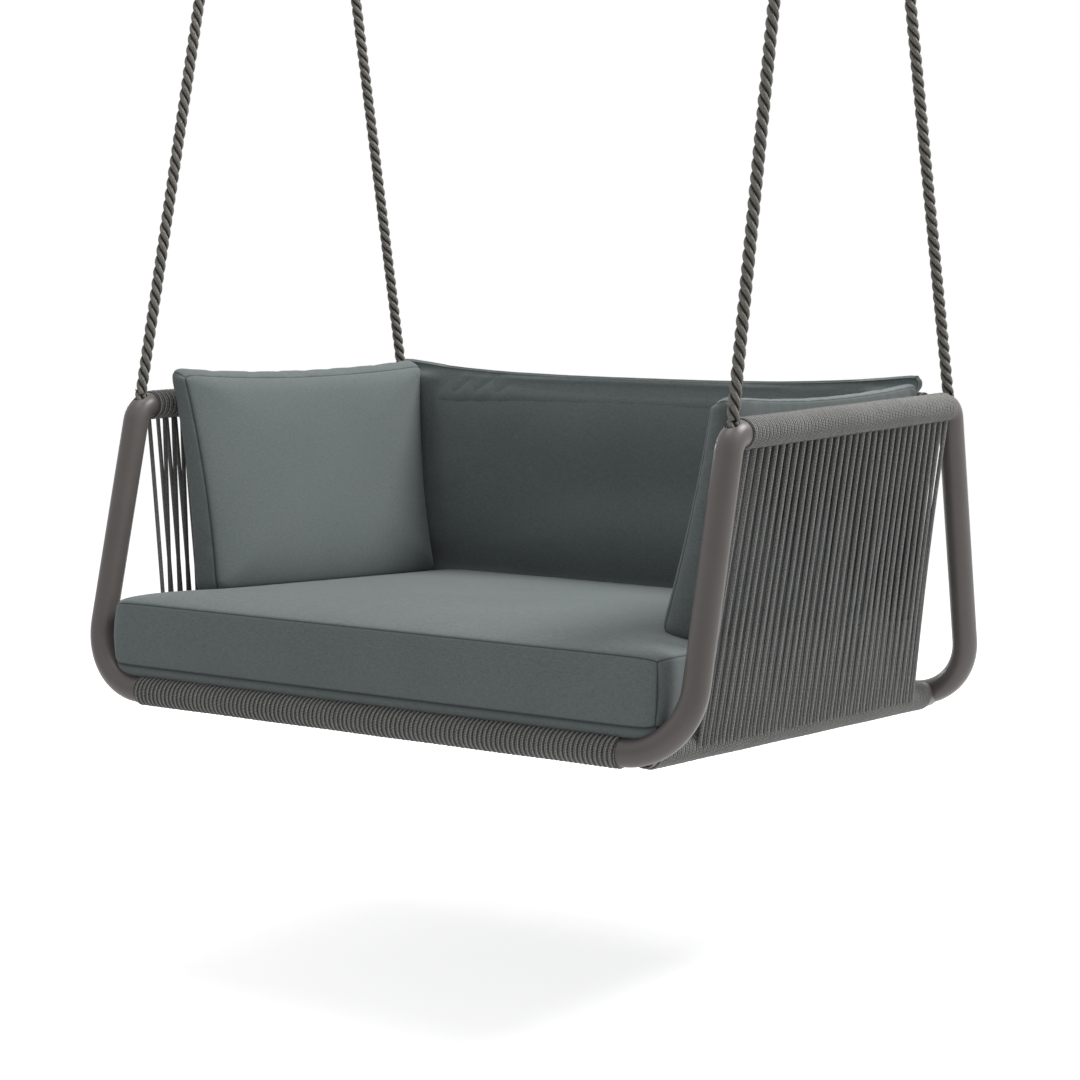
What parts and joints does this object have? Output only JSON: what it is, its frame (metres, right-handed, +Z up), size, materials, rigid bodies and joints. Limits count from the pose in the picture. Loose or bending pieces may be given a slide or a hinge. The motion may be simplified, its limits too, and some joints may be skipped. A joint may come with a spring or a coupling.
{
  "type": "hanging swing bed",
  "caption": "Hanging swing bed: bent tube frame with cord-wound rails and cord side panels, loose seat, side and back cushions, hung by ropes from shackles and eye bolts.",
  "frame": {"origin": "middle of the four eye bolts' pattern, on the underside of the beam that carries the bed", "axes": "+Z up along the eye bolts, +X to the right side seen from the front, -Y to the front"},
  "size_m": [1.4066, 1.2014, 1.8743],
  "materials": {
    "frame_paint": "satin",
    "wicker_cord": "matte",
    "rope": "matte",
    "cushion_cloth": "matte",
    "steel": "satin"
  },
  "bodies": {
    "hooks": {"eye_bolts": "steel", "beam_washers": "steel", "eye_nuts": "steel"},
    "shackle_front_left": {"shackle_front_left": "steel", "pin_front_left": "steel"},
    "rope_front_left": {"thimble_front_left": "steel", "splice_front_left": "rope", "whipping_front_left": "wicker_cord", "rope_front_left": "rope"},
    "shackle_front_right": {"shackle_front_right": "steel", "pin_front_right": "steel"},
    "rope_front_right": {"thimble_front_right": "steel", "splice_front_right": "rope", "whipping_front_right": "wicker_cord", "rope_front_right": "rope"},
    "shackle_rear_left": {"shackle_rear_left": "steel", "pin_rear_left": "steel"},
    "rope_rear_left": {"thimble_rear_left": "steel", "splice_rear_left": "rope", "whipping_rear_left": "wicker_cord", "rope_rear_left": "rope"},
    "shackle_rear_right": {"shackle_rear_right": "steel", "pin_rear_right": "steel"},
    "rope_rear_right": {"thimble_rear_right": "steel", "splice_rear_right": "rope", "whipping_rear_right": "wicker_cord", "rope_rear_right": "rope"},
    "foot_front_left": {"rope_foot_front_left": "rope"},
    "bed": {"front_frame": "frame_paint", "rear_frame": "frame_paint", "arm_rail_left": "frame_paint", "arm_rail_right": "frame_paint", "side_rail_left": "frame_paint", "side_rail_right": "frame_paint", "back_rail": "frame_paint", "front_rail_wrap": "wicker_cord", "rear_rail_wrap": "wicker_cord", "back_rail_wrap": "wicker_cord", "arm_wrap_left": "wicker_cord", "arm_wrap_right": "wicker_cord", "side_wrap_left": "wicker_cord", "side_wrap_right": "wicker_cord", "cord_panel_left": "wicker_cord", "cord_panel_right": "wicker_cord", "cord_panel_back": "wicker_cord", "cord_deck": "wicker_cord", "seat_cushion": "cushion_cloth", "side_cushion_left": "cushion_cloth", "side_cushion_right": "cushion_cloth", "back_cushion": "cushion_cloth", "stopper_front_left": "rope", "stopper_front_right": "rope", "stopper_rear_left": "rope", "stopper_rear_right": "rope", "rope_foot_front_right": "rope", "rope_foot_rear_left": "rope", "rope_foot_rear_right": "rope"}
  },
  "joints": [
    {"name": "swing_front_left", "type": "hinge", "parent": "hooks", "child": "shackle_front_left", "pos_m": [-0.653, -0.203, -0.065], "axis": [1, 0, 0], "range_deg": [-10, 10]},
    {"name": "sway_front_left", "type": "hinge", "parent": "shackle_front_left", "child": "rope_front_left", "pos_m": [-0.653, -0.2161, -0.12355], "axis": [0, 0.9759, -0.2183], "range_deg": [-5, 5]},
    {"name": "swing_front_right", "type": "hinge", "parent": "hooks", "child": "shackle_front_right", "pos_m": [0.653, -0.203, -0.065], "axis": [1, 0, 0], "range_deg": [-10, 10]},
    {"name": "sway_front_right", "type": "hinge", "parent": "shackle_front_right", "child": "rope_front_right", "pos_m": [0.653, -0.2161, -0.12355], "axis": [0, 0.9759, -0.2183], "range_deg": [-5, 5]},
    {"name": "swing_rear_left", "type": "hinge", "parent": "hooks", "child": "shackle_rear_left", "pos_m": [-0.653, 0.203, -0.065], "axis": [1, 0, 0], "range_deg": [-10, 10]},
    {"name": "sway_rear_left", "type": "hinge", "parent": "shackle_rear_left", "child": "rope_rear_left", "pos_m": [-0.653, 0.21607, -0.12356], "axis": [0, 0.976, 0.2178], "range_deg": [-5, 5]},
    {"name": "swing_rear_right", "type": "hinge", "parent": "hooks", "child": "shackle_rear_right", "pos_m": [0.653, 0.203, -0.065], "axis": [1, 0, 0], "range_deg": [-10, 10]},
    {"name": "sway_rear_right", "type": "hinge", "parent": "shackle_rear_right", "child": "rope_rear_right", "pos_m": [0.653, 0.21607, -0.12356], "axis": [0, 0.976, 0.2178], "range_deg": [-5, 5]},
    {"name": "foot_sway", "type": "hinge", "parent": "rope_front_left", "child": "foot_front_left", "pos_m": [-0.67389, -0.43351, -1.09571], "axis": [0, 0.9759, -0.2183], "range_deg": [-5, 5]},
    {"name": "foot_swing", "type": "hinge", "parent": "foot_front_left", "child": "bed", "pos_m": [-0.67389, -0.43351, -1.09571], "axis": [1, 0, 0], "range_deg": [-5, 5]}
  ],
  "couplings": [
    {"joint": "swing_front_right", "follows": "swing_front_left", "ratio": 1},
    {"joint": "sway_front_right", "follows": "sway_front_left", "ratio": 1},
    {"joint": "swing_rear_left", "follows": "swing_front_left", "ratio": 1},
    {"joint": "sway_rear_left", "follows": "sway_front_left", "ratio": 1},
    {"joint": "swing_rear_right", "follows": "swing_front_left", "ratio": 1},
    {"joint": "sway_rear_right", "follows": "sway_front_left", "ratio": 1},
    {"joint": "foot_sway", "follows": "sway_front_left", "ratio": -0.968},
    {"joint": "foot_swing", "follows": "swing_front_left", "ratio": -0.47}
  ]
}
